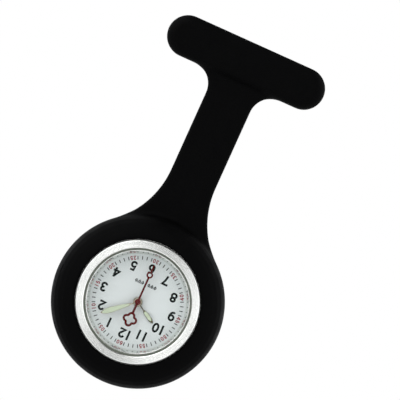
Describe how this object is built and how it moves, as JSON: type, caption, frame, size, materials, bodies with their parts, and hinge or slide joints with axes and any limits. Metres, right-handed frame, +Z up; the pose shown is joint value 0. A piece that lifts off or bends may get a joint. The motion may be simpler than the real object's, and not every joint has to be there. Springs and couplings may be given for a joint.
{
  "type": "fob watch",
  "caption": "Quartz watch head hung upside down in a silicone pouch and strap below a T-bar that carries a brooch pin.",
  "frame": {"origin": "middle of the T-bar, on the flat back of the silicone that lies against the garment", "axes": "+Z up along the strap to the T-bar as the watch hangs, +Y into the garment, so the dial faces -Y"},
  "size_m": [0.041, 0.0139, 0.0876],
  "materials": {
    "silicone": "matte black moulded silicone",
    "satin_steel": "satin ground",
    "polished_steel": "mirror polished",
    "nickel": "bright nickel plate",
    "brass": "cut and polished",
    "copper": "enamelled copper winding",
    "glass": "clear mineral glass",
    "dial_paint": "matte pale grey lacquer",
    "hand_lume": "pale green paint on nickel",
    "red_lacquer": "glossy red lacquer",
    "seal": "moulded seal",
    "spacer": "moulded, off white",
    "plate_resin": "moulded, fine matte",
    "board": "solder mask",
    "chip_resin": "moulded",
    "movement_steel": "turned and bright"
  },
  "bodies": {
    "t_bar": {"holder_upper": "silicone", "pin_base": "nickel", "pin_joint": "nickel", "pin_rivet": "nickel", "catch_housing": "nickel"},
    "needle": {"pin_needle": "polished_steel"},
    "safety_catch": {"catch_sleeve": "nickel"},
    "watch_head": {"holder_lower": "silicone", "case_middle": "satin_steel", "case_back": "satin_steel", "case_back_gasket": "seal", "bezel": "satin_steel", "crystal_gasket": "seal", "crystal": "glass", "dial_ring": "polished_steel", "dial": "dial_paint", "crown_tube": "movement_steel", "movement_holder": "spacer", "main_plate": "plate_resin", "train_bridge": "plate_resin", "bridge_screw_1": "movement_steel", "bridge_screw_2": "movement_steel", "bridge_screw_3": "movement_steel", "coil_screw_1": "movement_steel", "coil_screw_2": "movement_steel", "board_screw": "movement_steel", "clamp_screw": "movement_steel", "stator": "nickel", "coil_core": "nickel", "coil": "copper", "circuit_board": "board", "chip": "chip_resin", "quartz_can": "polished_steel", "battery": "polished_steel", "battery_clamp": "nickel"},
    "seconds": {"second_hand": "red_lacquer", "second_wheel": "brass"},
    "third": {"third_wheel": "brass"},
    "minutes": {"minute_hand": "hand_lume", "centre_wheel": "brass", "cannon_pinion": "brass"},
    "motion": {"minute_wheel": "brass"},
    "hours": {"hour_hand": "hand_lume", "hour_wheel": "brass"},
    "step": {"step_wheel": "brass"},
    "magnet": {"rotor": "movement_steel"},
    "setting": {"setting_wheel": "brass"},
    "crown_slide": {"crown_gasket": "seal"},
    "winder": {"crown": "polished_steel", "stem": "movement_steel"},
    "clutch": {"sliding_pinion": "movement_steel"},
    "lever": {"setting_lever": "movement_steel"},
    "rocker": {"yoke": "movement_steel"}
  },
  "joints": [
    {"name": "strap_flex", "type": "hinge", "parent": "t_bar", "child": "watch_head", "pos_m": [0, -0.0016, -0.02], "axis": [1, 0, 0], "range_deg": [-60, 60], "stiffness_Nm_per_rad": 0.004},
    {"name": "pin_swing", "type": "hinge", "parent": "t_bar", "child": "needle", "pos_m": [-0.0132, 0.0021, 0], "axis": [0, 0, 1], "range_deg": [0, 60]},
    {"name": "catch_turn", "type": "hinge", "parent": "t_bar", "child": "safety_catch", "pos_m": [0.013, 0.0021, 0], "axis": [-1, 0, 0], "range_deg": [0, 150]},
    {"name": "second_spin", "type": "hinge", "parent": "watch_head", "child": "seconds", "pos_m": [0, 0, -0.0622], "axis": [0, 1, 0], "continuous": true},
    {"name": "third_spin", "type": "hinge", "parent": "watch_head", "child": "third", "pos_m": [0.00042, 0, -0.06456], "axis": [0, 1, 0], "continuous": true},
    {"name": "minute_spin", "type": "hinge", "parent": "watch_head", "child": "minutes", "pos_m": [0, 0, -0.0622], "axis": [0, 1, 0], "continuous": true},
    {"name": "motion_spin", "type": "hinge", "parent": "watch_head", "child": "motion", "pos_m": [-0.00175, 0, -0.06056], "axis": [0, 1, 0], "continuous": true},
    {"name": "hour_spin", "type": "hinge", "parent": "watch_head", "child": "hours", "pos_m": [0, 0, -0.0622], "axis": [0, 1, 0], "continuous": true},
    {"name": "step_spin", "type": "hinge", "parent": "watch_head", "child": "step", "pos_m": [0.00043, 0, -0.05974], "axis": [0, 1, 0], "continuous": true},
    {"name": "rotor_spin", "type": "hinge", "parent": "watch_head", "child": "magnet", "pos_m": [0.00043, 0, -0.0575], "axis": [0, 1, 0], "continuous": true},
    {"name": "setting_spin", "type": "hinge", "parent": "watch_head", "child": "setting", "pos_m": [-0.0039, 0, -0.0622], "axis": [0, 1, 0], "continuous": true},
    {"name": "crown_pull", "type": "slide", "parent": "watch_head", "child": "crown_slide", "axis": [-1, 0, 0], "range_m": [0, 0.0008]},
    {"name": "crown_turn", "type": "hinge", "parent": "crown_slide", "child": "winder", "pos_m": [-0.017, -0.00485, -0.0622], "axis": [-1, 0, 0], "continuous": true},
    {"name": "clutch_slide", "type": "slide", "parent": "winder", "child": "clutch", "axis": [1, 0, 0], "range_m": [0, 0.0014]},
    {"name": "lever_turn", "type": "hinge", "parent": "watch_head", "child": "lever", "pos_m": [-0.0087, 0, -0.0597], "axis": [0, 1, 0], "range_deg": [0, 23]},
    {"name": "yoke_turn", "type": "hinge", "parent": "watch_head", "child": "rocker", "pos_m": [-0.0072, 0, -0.065], "axis": [0, 1, 0], "range_deg": [0, 16]}
  ],
  "couplings": [
    {"joint": "third_spin", "follows": "second_spin", "ratio": -0.13333},
    {"joint": "minute_spin", "follows": "second_spin", "ratio": 0.016667},
    {"joint": "motion_spin", "follows": "second_spin", "ratio": -0.0055556},
    {"joint": "hour_spin", "follows": "second_spin", "ratio": 0.0013889},
    {"joint": "step_spin", "follows": "second_spin", "ratio": -5},
    {"joint": "rotor_spin", "follows": "second_spin", "ratio": 30},
    {"joint": "setting_spin", "follows": "second_spin", "ratio": 0.011111},
    {"joint": "clutch_slide", "follows": "crown_pull", "ratio": 1.7},
    {"joint": "lever_turn", "follows": "crown_pull", "rad_per_m": 467.3},
    {"joint": "yoke_turn", "follows": "crown_pull", "rad_per_m": 290.5}
  ]
}
